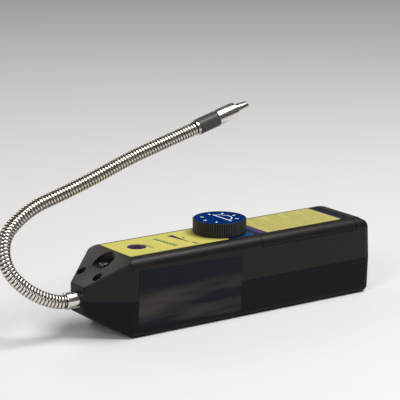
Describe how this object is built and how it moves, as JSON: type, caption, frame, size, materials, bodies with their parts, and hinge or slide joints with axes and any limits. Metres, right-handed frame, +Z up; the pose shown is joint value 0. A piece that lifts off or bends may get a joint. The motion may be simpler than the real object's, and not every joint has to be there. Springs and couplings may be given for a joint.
{
  "type": "refrigerant leak detector",
  "caption": "Hand-held refrigerant leak detector: tapered box housing, sensitivity knob, battery door and bendable sensing neck.",
  "frame": {"origin": "centre of the housing's flat underside", "axes": "+X from the probe's nose to the battery end, +Z up, -Y towards the labelled side"},
  "size_m": [0.2799, 0.081, 0.1331],
  "materials": {
    "housing_plastic": "moulded, lightly textured",
    "top_print": "printed sheet under clear film",
    "side_print": "printed sheet under clear film",
    "knob_plastic": "moulded",
    "knob_print": "printed disc",
    "window_plastic": "clear moulded",
    "lamp_plastic": "clear moulded",
    "white_plastic": "moulded",
    "screw_steel": "plated",
    "neck_steel": "plated, wound",
    "probe_metal": "plated, polished",
    "socket_plastic": "moulded",
    "electrode_steel": "drawn wire",
    "control_steel": "pressed",
    "brass": "turned",
    "board_laminate": "coated laminate",
    "black_plastic": "moulded",
    "core_steel": "laminated",
    "sleeve_print": "shrunk sleeve",
    "trimmer_plastic": "moulded",
    "motor_steel": "drawn can",
    "tube_rubber": "extruded, translucent",
    "cell_jacket": "printed jacket",
    "spring_steel": "nickel plated"
  },
  "bodies": {
    "housing": {"bottom_shell": "housing_plastic", "top_shell": "housing_plastic", "top_label": "top_print", "side_label": "side_print", "control": "control_steel", "control_washer": "spring_steel", "control_nut": "brass", "indicator_window": "window_plastic", "lamp": "lamp_plastic", "lamp_spacer": "white_plastic", "neck_ferrule": "probe_metal", "neck": "neck_steel", "probe_collar": "probe_metal", "probe_socket": "socket_plastic", "probe_barrel": "probe_metal", "probe_insulator": "white_plastic", "probe_electrode": "electrode_steel", "probe_nozzle": "probe_metal", "nose_screw": "screw_steel", "case_screws": "screw_steel", "board_screws": "screw_steel", "circuit_board": "board_laminate", "transformer": "core_steel", "capacitors": "sleeve_print", "chip": "black_plastic", "sounder": "black_plastic", "trimmer": "trimmer_plastic", "pump_casing": "white_plastic", "pump_motor": "motor_steel", "air_tube": "tube_rubber", "front_battery": "cell_jacket", "rear_battery": "cell_jacket", "front_contact": "spring_steel", "rear_contact": "spring_steel"},
    "knob": {"knob": "knob_plastic", "knob_cap": "knob_print", "control_shaft": "control_steel"},
    "pump_rotor": {"pump_wheel": "white_plastic", "motor_shaft": "electrode_steel"},
    "battery_door": {"battery_door": "housing_plastic", "door_label": "top_print"}
  },
  "joints": [
    {"name": "knob_turn", "type": "hinge", "parent": "housing", "child": "knob", "pos_m": [0.002, 0, 0.0556], "axis": [0, 0, -1], "range_deg": [0, 300]},
    {"name": "pump_spin", "type": "hinge", "parent": "housing", "child": "pump_rotor", "pos_m": [-0.0795, 0.0065, 0.016], "axis": [1, 0, 0], "continuous": true},
    {"name": "door_swing", "type": "hinge", "parent": "housing", "child": "battery_door", "pos_m": [0.02155, 0, 0.053], "axis": [0, -1, 0], "range_deg": [0, 70]}
  ]
}
